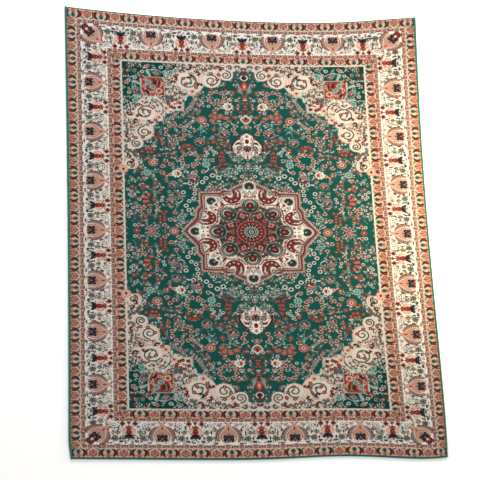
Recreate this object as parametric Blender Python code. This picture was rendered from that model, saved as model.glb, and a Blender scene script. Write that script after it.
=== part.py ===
"""Persian pile carpet lying flat on the floor: the knotted pile, two overcast side edges and two end bindings.

Metres, +Z up. X runs across the carpet, Y from its near end to its far end, and the origin lies
on the floor under the middle of the carpet's box. Every piece is drawn on the woven rectangle
first, and lay() then moves each point to where the uneven carpet really lies.
"""

import math

import bmesh
import bpy

# The woven rectangle and its pieces
WIDTH = 2.0
LENGTH = 3.0
PILE_THICKNESS = 0.010
SIDE_EDGE_WIDTH = 0.013
SIDE_EDGE_HEIGHT = 0.0105
END_BINDING_WIDTH = 0.008
END_BINDING_HEIGHT = 0.009
SEAM = 0.0003

# The pile's sheared rim
RIM_WIDTH = 0.0025
RIM_DROP = 0.0015

# How the outline departs from the rectangle
EDGE_REACH = 0.36
LEFT_HOLLOW = 0.007
RIGHT_HOLLOW = 0.034
FAR_SLACK = 0.038
FAR_BOW = 0.056
FAR_TILT = 0.036
NEAR_HOLLOW = 0.030
NEAR_HOLLOW_AT = 0.45
NEAR_HOLLOW_SPREAD = 0.35
CORNER_PULL = 0.030
CORNER_REACH = 0.35
NEAR_CORNER_IN = 0.042
NEAR_CORNER_UP = 0.028
NEAR_CORNER_ACROSS = 0.14
NEAR_CORNER_ALONG = 0.50
TUCK = 0.010
TUCK_REACH = 0.07

# Mesh steps
STEPS_ACROSS = 22
STEPS_ALONG = 32
ROLL_SIDES = 10

HALF_WIDTH = WIDTH / 2
HALF_LENGTH = LENGTH / 2
PILE_HALF_WIDTH = HALF_WIDTH - SIDE_EDGE_WIDTH - SEAM
PILE_HALF_LENGTH = HALF_LENGTH - END_BINDING_WIDTH - SEAM

# name: (base colour, roughness)
FINISHES = {
    "wool_pile": ((0.045, 0.165, 0.135), 0.92),
    "edge_wool": ((0.030, 0.130, 0.110), 0.80),
}


def bell(distance, spread):
    """A smooth hump of height 1 that dies away over about spread."""
    return math.exp(-((distance / spread) ** 2))


def fade(distance):
    """How much of an edge's shape is left at a distance from that edge."""
    return math.exp(-distance / EDGE_REACH)


def drift(x, y):
    """How far a point of the woven rectangle lies from its place, as (dx, dy)."""
    across = x / HALF_WIDTH
    bowed = 1 - (y / HALF_LENGTH) ** 2
    far = FAR_SLACK + FAR_BOW * across**2 - FAR_TILT * across
    near = NEAR_HOLLOW * bell(across - NEAR_HOLLOW_AT, NEAR_HOLLOW_SPREAD)
    pull = CORNER_PULL * bell(math.hypot(x - HALF_WIDTH, y - HALF_LENGTH), CORNER_REACH)
    tuck = TUCK * bell(math.hypot(x + HALF_WIDTH, y + HALF_LENGTH), TUCK_REACH)
    drawn_in = math.exp((x - HALF_WIDTH) / NEAR_CORNER_ACROSS - (y + HALF_LENGTH) / NEAR_CORNER_ALONG)
    dx = bowed * (LEFT_HOLLOW * fade(HALF_WIDTH + x) - RIGHT_HOLLOW * fade(HALF_WIDTH - x))
    dy = far * fade(HALF_LENGTH - y) + near * fade(HALF_LENGTH + y)
    return dx + tuck - NEAR_CORNER_IN * drawn_in, dy + pull + NEAR_CORNER_UP * drawn_in


def moved(x, y):
    """The point (x, y) of the woven rectangle, drifted."""
    dx, dy = drift(x, y)
    return x + dx, y + dy


def graded(half, steps):
    """Stations from -half to half that crowd towards both ends."""
    return [half * math.sin(math.pi * (i / steps - 0.5)) for i in range(steps + 1)]


def box_middle(columns, rows):
    """The middle of the drifted outline's box, from the stations of the outer edges."""
    outline = [moved(x, side * HALF_LENGTH) for x in columns for side in (-1, 1)]
    outline += [moved(side * HALF_WIDTH, y) for y in rows for side in (-1, 1)]
    xs = [point[0] for point in outline]
    ys = [point[1] for point in outline]
    return (min(xs) + max(xs)) / 2, (min(ys) + max(ys)) / 2


def rimmed(half, steps):
    """Pile stations: graded ones inside, and the narrow sheared rim at both ends."""
    return [-half] + graded(half - RIM_WIDTH, steps) + [half]


PILE_COLUMNS = rimmed(PILE_HALF_WIDTH, STEPS_ACROSS)
PILE_ROWS = rimmed(PILE_HALF_LENGTH, STEPS_ALONG)
EDGE_ROWS = [-HALF_LENGTH] + PILE_ROWS + [HALF_LENGTH]
MIDDLE = box_middle([-HALF_WIDTH] + PILE_COLUMNS + [HALF_WIDTH], EDGE_ROWS)


def lay(x, y, z):
    """Where a point of the woven rectangle lies on the floor."""
    px, py = moved(x, y)
    return px - MIDDLE[0], py - MIDDLE[1], z


def clear_scene():
    for old in list(bpy.data.objects):
        bpy.data.objects.remove(old, do_unlink=True)


def finish(name):
    """A Principled material from the FINISHES table."""
    colour, roughness = FINISHES[name]
    material = bpy.data.materials.new(name)
    material.use_nodes = True
    shader = material.node_tree.nodes["Principled BSDF"]
    shader.inputs["Base Color"].default_value = (*colour, 1.0)
    shader.inputs["Roughness"].default_value = roughness
    shader.inputs["Metallic"].default_value = 0.0
    material.diffuse_color = (*colour, 1.0)
    return material


def add_object(name, bm, material):
    """Turn a bmesh into a named object with its faces pointing out."""
    bmesh.ops.recalc_face_normals(bm, faces=bm.faces)
    mesh = bpy.data.meshes.new(name)
    bm.to_mesh(mesh)
    bm.free()
    mesh.materials.append(material)
    mesh.shade_smooth()
    mesh.set_sharp_from_angle(angle=math.radians(35))
    piece = bpy.data.objects.new(name, mesh)
    bpy.context.scene.collection.objects.link(piece)
    return piece


def pile_carpet(material):
    """The knotted carpet: one slab, flat below, with a low sheared rim above."""
    bm = bmesh.new()
    last_column, last_row = len(PILE_COLUMNS) - 1, len(PILE_ROWS) - 1

    def grid(height):
        """The slab's points at one face, as rows of columns."""
        return [
            [bm.verts.new(lay(x, y, height(i, j))) for i, x in enumerate(PILE_COLUMNS)]
            for j, y in enumerate(PILE_ROWS)
        ]

    def top_height(i, j):
        on_rim = i in (0, last_column) or j in (0, last_row)
        return PILE_THICKNESS - RIM_DROP if on_rim else PILE_THICKNESS

    top, bottom = grid(top_height), grid(lambda i, j: 0.0)
    for j in range(last_row):
        for i in range(last_column):
            for face in (top, bottom):
                bm.faces.new((face[j][i], face[j][i + 1], face[j + 1][i + 1], face[j + 1][i]))
    ring = [(0, i) for i in range(last_column)]
    ring += [(j, last_column) for j in range(last_row)]
    ring += [(last_row, i) for i in range(last_column, 0, -1)]
    ring += [(j, 0) for j in range(last_row, 0, -1)]
    for (j0, i0), (j1, i1) in zip(ring, ring[1:] + ring[:1]):
        bm.faces.new((bottom[j0][i0], bottom[j1][i1], top[j1][i1], top[j0][i0]))
    return add_object("pile_carpet", bm, material)


def roll_section(width, height):
    """An oval roll's section with a flat foot, as (offset across it, height) points."""
    angles = [2 * math.pi * (k + 0.5) / ROLL_SIDES - math.pi / 2 for k in range(ROLL_SIDES)]
    foot = math.sin(angles[0])
    return [
        (width * (1 + math.cos(a)) / 2, height * (1 - math.sin(a) / foot) / 2) for a in angles
    ]


def roll(name, stations, section, place, material):
    """A long roll: the section carried along the stations, closed at both ends."""
    bm = bmesh.new()
    loops = [
        [bm.verts.new(lay(*place(station, offset), height)) for offset, height in section]
        for station in stations
    ]
    for loop, following in zip(loops, loops[1:]):
        for k in range(len(section)):
            n = (k + 1) % len(section)
            bm.faces.new((loop[k], loop[n], following[n], following[k]))
    bm.faces.new(loops[0])
    bm.faces.new(list(reversed(loops[-1])))
    return add_object(name, bm, material)


def side_edge(name, side, material):
    """The overcast edge along one side; side is -1 for the left and 1 for the right."""
    section = roll_section(SIDE_EDGE_WIDTH, SIDE_EDGE_HEIGHT)

    def place(station, offset):
        return side * (HALF_WIDTH - offset), station

    return roll(name, EDGE_ROWS, section, place, material)


def end_binding(name, end, material):
    """The narrow binding between the side edges; end is -1 for the near end and 1 for the far."""
    section = roll_section(END_BINDING_WIDTH, END_BINDING_HEIGHT)

    def place(station, offset):
        return station, end * (HALF_LENGTH - offset)

    return roll(name, PILE_COLUMNS, section, place, material)


def main():
    clear_scene()
    wool_pile = finish("wool_pile")
    edge_wool = finish("edge_wool")
    pile_carpet(wool_pile)
    side_edge("side_edge_left", -1, edge_wool)
    side_edge("side_edge_right", 1, edge_wool)
    end_binding("end_binding_near", -1, edge_wool)
    end_binding("end_binding_far", 1, edge_wool)


main()
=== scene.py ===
"""Looks of the persian carpet: its knotted pile with the whole design, the overcast edges and the floor.

The design is charted for one quarter of the carpet, in millimetres from its middle, and mirrored
to the other three, as its weaver would do. The pile is a dense mesh that carries the chart as a
colour on every face corner, cut lengthwise into strips that meet without a gap.
"""
import math

import bpy
import numpy as np
from mathutils import Matrix, Vector


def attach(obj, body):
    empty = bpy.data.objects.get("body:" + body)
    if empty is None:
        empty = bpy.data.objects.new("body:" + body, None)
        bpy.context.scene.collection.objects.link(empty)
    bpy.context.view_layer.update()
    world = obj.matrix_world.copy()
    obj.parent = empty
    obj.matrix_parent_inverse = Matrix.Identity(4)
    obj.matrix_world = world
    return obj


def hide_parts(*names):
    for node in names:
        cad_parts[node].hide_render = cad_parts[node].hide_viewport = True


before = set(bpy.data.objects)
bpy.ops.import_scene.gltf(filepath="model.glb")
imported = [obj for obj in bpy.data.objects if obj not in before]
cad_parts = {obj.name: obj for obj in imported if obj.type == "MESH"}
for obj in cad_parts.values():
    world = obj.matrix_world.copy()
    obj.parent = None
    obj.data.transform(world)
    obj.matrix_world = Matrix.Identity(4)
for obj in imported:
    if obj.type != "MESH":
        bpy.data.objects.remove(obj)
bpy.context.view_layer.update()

MM = 0.001

# The woven rectangle and how it really lies, in metres, as in the solids
WIDTH = 2.0
LENGTH = 3.0
PILE_THICKNESS = 0.010
SIDE_EDGE_WIDTH = 0.013
SIDE_EDGE_HEIGHT = 0.0105
END_BINDING_WIDTH = 0.008
END_BINDING_HEIGHT = 0.009
SEAM = 0.0003
RIM_DROP = 0.0015
EDGE_REACH = 0.36
LEFT_HOLLOW = 0.007
RIGHT_HOLLOW = 0.034
FAR_SLACK = 0.038
FAR_BOW = 0.056
FAR_TILT = 0.036
NEAR_HOLLOW = 0.030
NEAR_HOLLOW_AT = 0.45
NEAR_HOLLOW_SPREAD = 0.35
CORNER_PULL = 0.030
CORNER_REACH = 0.35
NEAR_CORNER_IN = 0.042
NEAR_CORNER_UP = 0.028
NEAR_CORNER_ACROSS = 0.14
NEAR_CORNER_ALONG = 0.50
TUCK = 0.010
TUCK_REACH = 0.07

HALF_WIDTH = WIDTH / 2
HALF_LENGTH = LENGTH / 2
PILE_HALF_WIDTH = HALF_WIDTH - SIDE_EDGE_WIDTH - SEAM
PILE_HALF_LENGTH = HALF_LENGTH - END_BINDING_WIDTH - SEAM

# The pile's mesh
STRIPS = 5
STRIP_COLUMNS = 108
PILE_ROWS = 812
BACK_COLUMNS = 9
BACK_ROWS = 28

# How unevenly the pile stands, in mm: its slow waves and the grain of its tufts
NAP_GRAIN = 0.16
# (height in mm, rate in radians a metre, how far it sways in radians, rate of the swaying)
NAP_ALONG = (0.22, 9.1, 1.7, 3.3)
NAP_ACROSS = (0.20, 7.3, 2.1, 4.7)
NAP_SEED = 7

# Faces that meet at more than so many degrees keep a sharp edge between them
SHARP_ANGLE = 35

# The thread wound round the edges
THREAD_PITCH = 0.005
THREAD_RELIEF = 0.00035
THREAD_SLANT = 0.0015
THREAD_SIDES = 8
THREAD_SEED = 11

# The baking map's layout
TOP_PARTS = 3
TOP_SHARE = 0.83
BACK_SHARE = 0.15
ROLL_PARTS = 12
UV_MARGIN = 0.006

# Weave
KNOT_PITCH = 0.0026
BACK_PITCH = 0.0030

# How dark and how light fibres and bands across the pile turn the dye, and how much painted shade
# darkens the knots, most in the gaps between their tops
FIBRE_SHADES = (0.78, 1.2)
BAND_SHADES = (0.93, 1.07)
KNOT_PAINTED_SHADE = (0.52, 0.845)
SPECULAR = 0.02
SHEEN_ROUGHNESS = 0.6

# Floor, light and camera
FLOOR_SIZE = 60.0
FLOOR_DROP = 0.0004
FLOOR_COLOUR = (0.93, 0.93, 0.93)
WORLD_COLOUR = (1.0, 1.0, 1.0)
WORLD_STRENGTH = 0.88
# name: (place, what it faces, width, length, power, colour)
LIGHTS = {
    "window": ((1.50, 0.25, 0.56), (0.0, 0.25, 0.0), 0.6, 1.7, 46.0, (1.0, 0.80, 0.44)),
    "fill": ((-0.3, 4.2, 2.4), (0.0, 0.5, 0.0), 1.2, 3.0, 155.0, (1.0, 1.0, 1.0)),
}
VIEW_ELEVATION = 51.05
VIEW_AZIMUTH = 6.77
VIEW_ROLL = 5.95
VIEW_DISTANCE = 19.05
VIEW_LENS = 265.0
VIEW_TARGET = (-0.0646, -0.0482)

# Distances from the woven edge to the lines between the stripes, in mm
GUARD_OUTER = 16.0
CREAM_OUTER = (63.5, 68.5)
BEAD_OUTER = 77.0
WHITE_OUTER = (85.5, 94.5)
BORDER_MIDDLE = 160.5
WHITE_INNER = (226.5, 235.5)
BEAD_INNER = 246.0
CREAM_INNER = (256.0, 261.0)
GUARD_INNER = 314.0
FIELD_EDGE = 316.5

HALF_X = 1000.0
HALF_Y = 1500.0
FIELD_X = HALF_X - FIELD_EDGE
BORDER_X = HALF_X - BORDER_MIDDLE
BORDER_Y = HALF_Y - BORDER_MIDDLE
BORDER_REPEAT = 343.5

# (distance in, pitch and half-pitches filled at the end, the same at the side) of each guard
GUARD_STRIPES = ((40.5, 158.8, 12, 157.6, 18), (286.5, 157.4, 9, 157.5, 15))
# (distance in, rings across, rings along) of each stripe of beads
BEAD_STRIPES = ((BEAD_OUTER, 13, 20), (BEAD_INNER, 11, 18))

# Wool dyes, as display colours from 0 to 255
DYES = {
    "green": (20, 81, 76),
    "bottle": (10, 64, 58),
    "lawn": (12, 82, 72),
    "edge": (18, 106, 92),
    "snow": (238, 237, 233),
    "ivory": (233, 230, 224),
    "bone": (216, 196, 182),
    "shell": (220, 207, 196),
    "pearl": (226, 212, 202),
    "cream": (224, 194, 176),
    "blush": (212, 180, 168),
    "peach": (222, 180, 162),
    "salmon": (212, 154, 136),
    "tan": (184, 138, 120),
    "fawn": (152, 118, 104),
    "coral": (180, 98, 82),
    "brick": (154, 82, 68),
    "red": (150, 44, 38),
    "scarlet": (164, 54, 42),
    "garnet": (124, 46, 44),
    "rust": (124, 54, 46),
    "maroon": (88, 28, 32),
    "umber": (62, 38, 36),
    "navy": (42, 36, 48),
    "ink": (20, 26, 26),
    "plum": (76, 50, 60),
    "mauve": (130, 92, 96),
    "dusty": (138, 100, 100),
    "rose": (184, 128, 120),
    "silver": (198, 204, 200),
    "grey": (146, 154, 154),
    "slate": (76, 94, 100),
    "moss": (104, 110, 98),
    "mint": (134, 184, 178),
    "teal": (46, 118, 112),
    "fern": (34, 88, 86),
    "vine": (56, 112, 106),
    "pine": (30, 60, 58),
    "dusk": (50, 60, 58),
}


def linear(value):
    """A display value from 0 to 255 as a linear one from 0 to 1."""
    value = value / 255
    return value / 12.92 if value <= 0.04045 else ((value + 0.055) / 1.055) ** 2.4


DYE = {name: np.array([linear(v) for v in rgb], np.float32) for name, rgb in DYES.items()}


# ---------------------------------------------------------------- drawing on the chart

# Further than anything on the chart, in mm
FAR_OFF = 1e9


def smooth(points, closed=False, steps=6):
    """A soft curve through the points, as more points."""
    p = np.asarray(points, float)
    if len(p) == 2:
        return p[0] + (p[1] - p[0]) * np.linspace(0, 1, steps + 1)[:, None]
    if closed:
        p = np.concatenate([p[-1:], p, p[:2]])
    else:
        p = np.concatenate([[2 * p[0] - p[1]], p, [2 * p[-1] - p[-2]]])
    a, b, c, d = (p[k : len(p) - 3 + k, None, :] for k in range(4))
    t = (np.arange(steps) / steps)[None, :, None]
    curve = b + 0.5 * t * (c - a + t * (2 * a - 5 * b + 4 * c - d + t * (3 * (b - c) + d - a)))
    curve = curve.reshape(-1, 2)
    return curve if closed else np.concatenate([curve, p[-2:-1]])


def from_segment(U, V, a, b):
    """How far points are from a segment, and how far along it, 0 to 1, the nearest place is."""
    du, dv = b[0] - a[0], b[1] - a[1]
    along = ((U - a[0]) * du + (V - a[1]) * dv) / max(du * du + dv * dv, 1e-9)
    along = np.clip(along, 0, 1)
    return np.hypot(U - a[0] - along * du, V - a[1] - along * dv), along


class Chart:
    """One quarter of the design as a grid of dyes."""

    def __init__(self, columns, rows, half_x, half_y):
        self.step = half_x / columns
        self.x = (np.arange(columns) + 0.5) * half_x / columns
        self.y = (np.arange(rows) + 0.5) * half_y / rows
        self.dye = np.empty((rows, columns, 3), np.float32)
        self.dye[:] = DYE["green"]

    def window(self, x, y, reach):
        """The part of the grid within reach of a point, as slices, or None where there is none."""
        i0, i1 = np.searchsorted(self.x, (x - reach, x + reach))
        j0, j1 = np.searchsorted(self.y, (y - reach, y + reach))
        return (slice(j0, j1), slice(i0, i1)) if i1 > i0 and j1 > j0 else None

    def bare(self, x, y, dye):
        """Whether the cell at a point still has just that dye."""
        i, j = np.searchsorted(self.x, x), np.searchsorted(self.y, y)
        if i >= len(self.x) or j >= len(self.y):
            return False
        return abs(self.dye[j, i] - DYE[dye]).sum() < 0.01

    def put(self, part, distance, dye):
        """Dye the cells of a part whose distance from a shape is negative, with soft edges."""
        cover = np.clip(0.5 - distance / self.step, 0, 1)[..., None]
        self.dye[part] += (DYE[dye] - self.dye[part]) * cover


class Pen:
    """Draws in a motif's own coordinates, u across and v up.

    They are scaled by size, mirrored where flip is -1, turned by turn degrees and set at (x, y).
    """

    def __init__(self, chart, x=0.0, y=0.0, turn=0.0, size=1.0, flip=1):
        self.chart, self.x, self.y = chart, x, y
        self.turn, self.size, self.flip = turn, size, flip
        self.cos, self.sin = math.cos(math.radians(turn)), math.sin(math.radians(turn))

    def at(self, u, v, turn=0.0, size=1.0, flip=1):
        """A pen for a motif inside this one."""
        u *= self.flip
        x = self.x + self.size * (u * self.cos - v * self.sin)
        y = self.y + self.size * (u * self.sin + v * self.cos)
        turn = self.turn + self.flip * turn
        return Pen(self.chart, x, y, turn, self.size * size, self.flip * flip)

    def halves(self):
        """Two pens that draw what is a right half once on the left and once on the right."""
        return self.at(0, 0, flip=-1), self

    def cells(self, points, reach):
        """The grid around some local points, and its local coordinates."""
        p = np.asarray(points, float).reshape(-1, 2)
        low, high = p.min(0) - reach, p.max(0) + reach
        half = np.hypot(*(high - low)) / 2
        middle = self.at(*((low + high) / 2))
        part = self.chart.window(middle.x, middle.y, half * self.size + self.chart.step)
        if part is None:
            return None, None, None
        dx = (self.chart.x[part[1]] - self.x)[None, :] / self.size
        dy = (self.chart.y[part[0]] - self.y)[:, None] / self.size
        return part, (dx * self.cos + dy * self.sin) * self.flip, dy * self.cos - dx * self.sin

    def put(self, part, distance, dye):
        self.chart.put(part, distance * self.size, dye)

    def oval(self, u, v, across, up, dye):
        """A filled oval of half-axes across and up."""
        part, U, V = self.cells((u, v), max(across, up))
        if part is not None:
            share = np.hypot((U - u) / across, (V - v) / up)
            self.put(part, (share - 1) * min(across, up), dye)

    def disc(self, u, v, radius, dye):
        self.oval(u, v, radius, radius, dye)

    def ring(self, u, v, radius, width, dye):
        part, U, V = self.cells((u, v), radius + width)
        if part is not None:
            self.put(part, abs(np.hypot(U - u, V - v) - radius) - width / 2, dye)

    def bloom(self, u, v, radius, petals, dye, depth=0.3, turn=90.0):
        """A flower's outline: a disc whose rim swings in between its petals."""
        part, U, V = self.cells((u, v), radius)
        if part is None:
            return
        angle = np.arctan2(V - v, U - u) - math.radians(turn)
        wave = np.abs(np.cos(angle * petals / 2))
        self.put(part, np.hypot(U - u, V - v) - radius * (1 - depth + depth * wave), dye)

    def stroke(self, points, width, dye, taper="none"):
        """A soft line; taper thins it to its "end" or to "both" ends, as a leaf."""
        line = smooth(points)
        t = np.linspace(0, 1, len(line))
        shares = {
            "none": np.ones_like(t),
            "end": 1 - 0.85 * t,
            "both": 0.12 + 0.88 * np.sin(math.pi * t) ** 0.8,
        }
        widths = width / 2 * shares[taper]
        part, U, V = self.cells(line, width)
        if part is None:
            return
        distance = np.full(U.shape, FAR_OFF)
        for a, b, wa, wb in zip(line, line[1:], widths, widths[1:]):
            gap, along = from_segment(U, V, a, b)
            distance = np.minimum(distance, gap - wa - along * (wb - wa))
        self.put(part, distance, dye)

    def leaf(self, points, width, dye):
        self.stroke(points, width, dye, "both")

    def shape(self, points, dye):
        """A filled outline, rounded at its points."""
        self.polygon(smooth(points, closed=True), dye)

    def polygon(self, points, dye):
        """A filled outline with straight sides."""
        line = np.asarray(points, float)
        part, U, V = self.cells(line, 2.0)
        if part is None:
            return
        inside = np.zeros(U.shape, bool)
        distance = np.full(U.shape, FAR_OFF)
        for a, b in zip(line, np.roll(line, -1, axis=0)):
            distance = np.minimum(distance, from_segment(U, V, a, b)[0])
            (au, av), (bu, bv) = a, b
            if av != bv:
                inside ^= ((av > V) != (bv > V)) & (U < au + (V - av) * (bu - au) / (bv - av))
        self.put(part, np.where(inside, -distance, distance), dye)


def mirrored(points):
    """A right half's points, top to bottom, with the left half added."""
    return list(points) + [(-u, v) for u, v in reversed(points) if abs(u) > 1e-6]


# ---------------------------------------------------------------- stripes and their motifs


def frame_between(chart, near, far, dye):
    """Dye the frame whose distance from the woven edge is from near to far."""
    inset_x = HALF_X - chart.x[None, :]
    inset_y = HALF_Y - chart.y[:, None]
    inset = np.minimum(inset_x, inset_y)
    chart.put(np.s_[:, :], abs(inset - (near + far) / 2) - (far - near) / 2, dye)


def bead(pen):
    """A dark ring with a dark eye, between brackets; v points outward."""
    pen.leaf([(-24, -10), (0, -13), (24, -10)], 4, "maroon")
    for half in pen.halves():
        half.leaf([(15, 10), (23, 0), (15, -10)], 7, "maroon")
        half.leaf([(23, 11), (29, 0), (23, -11)], 6, "coral")
    pen.oval(0, 0, 13, 11.5, "maroon")
    pen.oval(0, 0, 8, 6.5, "blush")
    pen.oval(0, 0, 4.5, 4, "umber")


def bud(pen):
    """The teal bud between two rings."""
    pen.oval(0, 0, 8, 11, "coral")
    pen.oval(0, 1, 5, 10, "pine")
    pen.oval(0, 4, 3.5, 5, "mint")


def guard_fan(pen):
    """A teal cup in a pale halo between two dark leaves; v points outward."""
    for half in pen.halves():
        half.leaf([(30, -19), (47, 2), (45, 26)], 9, "brick")
        half.leaf([(33, -12), (45, 4), (43, 20)], 3, "umber")
        half.leaf([(18, -20), (36, 2), (26, 31)], 19, "umber")
        half.leaf([(19, -15), (27, 2), (22, 25)], 4, "grey")
        half.leaf([(36, -8), (40, 6), (34, 22)], 4, "rust")
    pen.oval(0, -3, 17, 18, "blush")
    pen.oval(0, -3, 13.5, 15, "teal")
    pen.shape(mirrored([(0, 33), (11, 29), (6, 15), (0, 10)]), "coral")
    pen.oval(0, 6, 4, 10, "maroon")
    pen.oval(0, -6, 6, 6, "pine")


def guard_palmette(pen):
    """A brown palmette with a rust heart, between two teal hooks; v points outward."""
    for half in pen.halves():
        half.leaf([(27, 28), (33, 18), (28, 8)], 6, "umber")
        half.leaf([(33, 2), (30, -14), (11, -20)], 10, "teal")
    pen.shape(mirrored([(0, 30), (13, 24), (22, 8), (17, -6), (0, -12)]), "rust")
    pen.shape(mirrored([(0, 26), (9, 20), (18, 8), (13, -4), (0, -8)]), "tan")
    for half in pen.halves():
        half.leaf([(4, 22), (10, 10), (7, -4)], 4, "brick")
    pen.leaf([(0, -18), (0, 0), (0, 16)], 6, "rust")
    pen.oval(0, -13, 5, 5, "slate")


def vase_leaves(pen):
    """The scalloped leaves to both sides of the vase, and what grows about them."""
    rim = [(15, -44), (34, -32), (50, -12), (58, 10), (56, 31), (48, 50)]
    lining = [(20, -32), (35, -17), (47, 1), (50, 24), (44, 45)]
    for half in pen.halves():
        half.stroke(rim, 24, "mauve", "both")
        half.stroke(rim, 19, "fawn", "both")
        for u, v in smooth([(u + 8, v) for u, v in rim[1:]], steps=3):
            half.disc(u, v, 3.4, "rust")
        half.stroke(lining, 9, "pine", "both")
        for u, v in smooth(lining, steps=2)[1:-1]:
            half.disc(u, v, 3.3, "silver")
        half.leaf([(6, -54), (14, -66), (28, -66)], 7, "coral")
        half.leaf([(3, -58), (9, -65), (17, -72)], 8, "teal")
        for u, v in ((38, -62), (52, -58), (44, -50)):
            half.disc(u, v, 6.5, "rust")
            half.disc(u, v, 3, "snow")
        half.leaf([(66, -32), (70, -20), (66, -10)], 8, "plum")
        half.leaf([(54, 62), (66, 64), (76, 58)], 8, "plum")


def vase_bulb(pen):
    """The vase's salmon bulb with its navy flower."""
    bulb = [
        (10, 57), (28, 54), (37, 43), (42, 27), (41, 7), (32, -10), (22, -23), (13, -41), (9, -62),
    ]
    pen.shape(mirrored(bulb), "coral")
    pen.shape(mirrored([(u * 0.84 - 0.5, v - 1) for u, v in bulb]), "salmon")
    pen.oval(0, -2, 25, 22, "tan")
    pen.leaf([(-20, 2), (0, -16), (20, 2)], 6, "salmon")
    pen.leaf([(0, -42), (0, -30), (0, -20)], 8, "umber")
    for half in pen.halves():
        half.leaf([(31, 42), (34, 26), (30, 8)], 6, "peach")
        half.bloom(19, 19, 11, 5, "navy", 0.2)
        half.oval(18, 38, 9, 17, "navy")
        half.oval(17, 26, 3, 5, "teal")
        half.leaf([(10, 44), (16, 54)], 5, "fawn")
    pen.oval(0, 28, 13, 18, "navy")
    pen.oval(0, 46, 9, 9, "plum")
    pen.oval(0, 36, 6, 9, "mauve")
    pen.oval(0, 6, 6, 7, "teal")


def vase(pen):
    """The border's vase; v points outward."""
    vase_leaves(pen)
    vase_bulb(pen)


def lily(pen):
    """The border's red lily over a navy flower; v points outward."""
    for half in pen.halves():
        half.leaf([(12, -36), (28, -18), (26, 12)], 17, "salmon")
        half.leaf([(22, -24), (30, -6), (25, 10)], 6, "cream")
        half.leaf([(28, 46), (40, 53), (50, 46)], 14, "plum")
        half.leaf([(9, 54), (18, 60)], 8, "coral")
        half.leaf([(9, -38), (17, -46)], 8, "rust")
    pen.shape(mirrored([(0, 8), (15, 7), (17, -12), (12, -24), (17, -36), (0, -47)]), "brick")
    pen.shape(mirrored([(0, 6), (12, 3), (12, -12), (6, -26), (0, -28)]), "red")
    pen.shape(mirrored([(0, -5), (6, -13), (5, -23), (0, -28)]), "umber")
    pen.leaf([(-8, -36), (0, -40), (8, -36)], 5, "maroon")
    pen.disc(0, -14, 2.5, "peach")
    for half in pen.halves():
        half.bloom(11, 21, 14, 5, "navy", 0.2)
        half.bloom(20, 30, 10, 5, "navy", 0.25)
        half.leaf([(7, 16), (16, 32)], 3.5, "slate")
    pen.oval(0, 20, 12, 16, "navy")
    pen.oval(0, 37, 6, 7, "mauve")
    pen.stroke([(0, -46), (0, -56)], 5, "umber")
    pen.shape(mirrored([(0, -56), (12, -68), (6, -73), (0, -73)]), "rust")
    for half in pen.halves():
        flower = half.at(33, -60, 45)
        flower.shape([(-11, -11), (11, -11), (11, 11), (-11, 11)], "brick")
        flower.shape([(-6, -6), (6, -6), (6, 6), (-6, 6)], "maroon")


def between_lily_and_vase(pen):
    """What grows between a lily, at the origin, and the vase to its right; v points outward."""
    pen.stroke([(58, 8), (64, 14), (58, 22)], 4, "fawn")
    pen.oval(58, -9, 16, 17, "fawn")
    pen.oval(58, -15, 11, 12, "ivory")
    pen.disc(58, -11, 8, "teal")
    pen.oval(58, -11, 3, 4, "pine")
    pen.bloom(72, 33, 21, 9, "umber", 0.45, 20)
    pen.bloom(72, 33, 14, 9, "moss", 0.35)
    pen.disc(72, 33, 4, "umber")
    pen.bloom(82, -48, 17, 8, "coral", 0.3)
    pen.bloom(82, -48, 12, 8, "snow", 0.2)
    pen.disc(82, -48, 5.5, "teal")
    for dye, width, line in (
        ("maroon", 8, ((45, -49), (52, -42), (56, -32))),
        ("umber", 9, ((86, -18), (83, -6), (86, 8))),
        ("plum", 10, ((104, -37), (106, -26), (112, -17))),
        ("umber", 10, ((40, 20), (45, 30), (42, 42))),
        ("umber", 8, ((92, 20), (101, 26), (96, 42))),
        ("plum", 8, ((92, 60), (106, 63), (118, 57))),
        ("ink", 7, ((50, -67), (58, -66))),
        ("maroon", 6, ((108, 8), (114, -2))),
        ("ink", 6, ((98, -66), (106, -62))),
    ):
        pen.leaf(line, width, dye)


def guard_grounds(chart):
    """The two guards' grounds and the rims beside them."""
    frame_between(chart, 0, CREAM_OUTER[0], "peach")
    frame_between(chart, GUARD_OUTER, GUARD_OUTER + 12, "tan")
    frame_between(chart, CREAM_INNER[1], GUARD_INNER, "peach")
    frame_between(chart, CREAM_INNER[1] + 4, CREAM_INNER[1] + 16, "tan")
    frame_between(chart, GUARD_INNER - 6, FIELD_EDGE, "shell")


def middle_grounds(chart):
    """The grounds of all that lies between the guards."""
    frame_between(chart, *CREAM_OUTER, "cream")
    frame_between(chart, CREAM_OUTER[1], WHITE_OUTER[0], "bone")
    frame_between(chart, *WHITE_OUTER, "snow")
    frame_between(chart, WHITE_OUTER[1], WHITE_INNER[0], "ivory")
    frame_between(chart, *WHITE_INNER, "snow")
    frame_between(chart, WHITE_INNER[1], CREAM_INNER[0], "bone")
    frame_between(chart, *CREAM_INNER, "cream")


def along_end(chart, inset, u):
    """A pen on the far end's stripe, u across from the middle, facing outward."""
    return Pen(chart, u, HALF_Y - inset)


def along_side(chart, inset, u):
    """A pen on the right side's stripe, u up from the middle, facing outward."""
    return Pen(chart, HALF_X - inset, u, -90)


def bead_stripe(chart, inset, rings_across, rings_along):
    """Rings and buds by turns, with a bud at the corner."""
    for place, half, count in (
        (along_end, HALF_X - inset, rings_across),
        (along_side, HALF_Y - inset, rings_along),
    ):
        pitch = half / count
        for k in range(count + 1):
            bud(place(chart, inset, k * pitch))
            if k < count:
                bead(place(chart, inset, (k + 0.5) * pitch))


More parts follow.
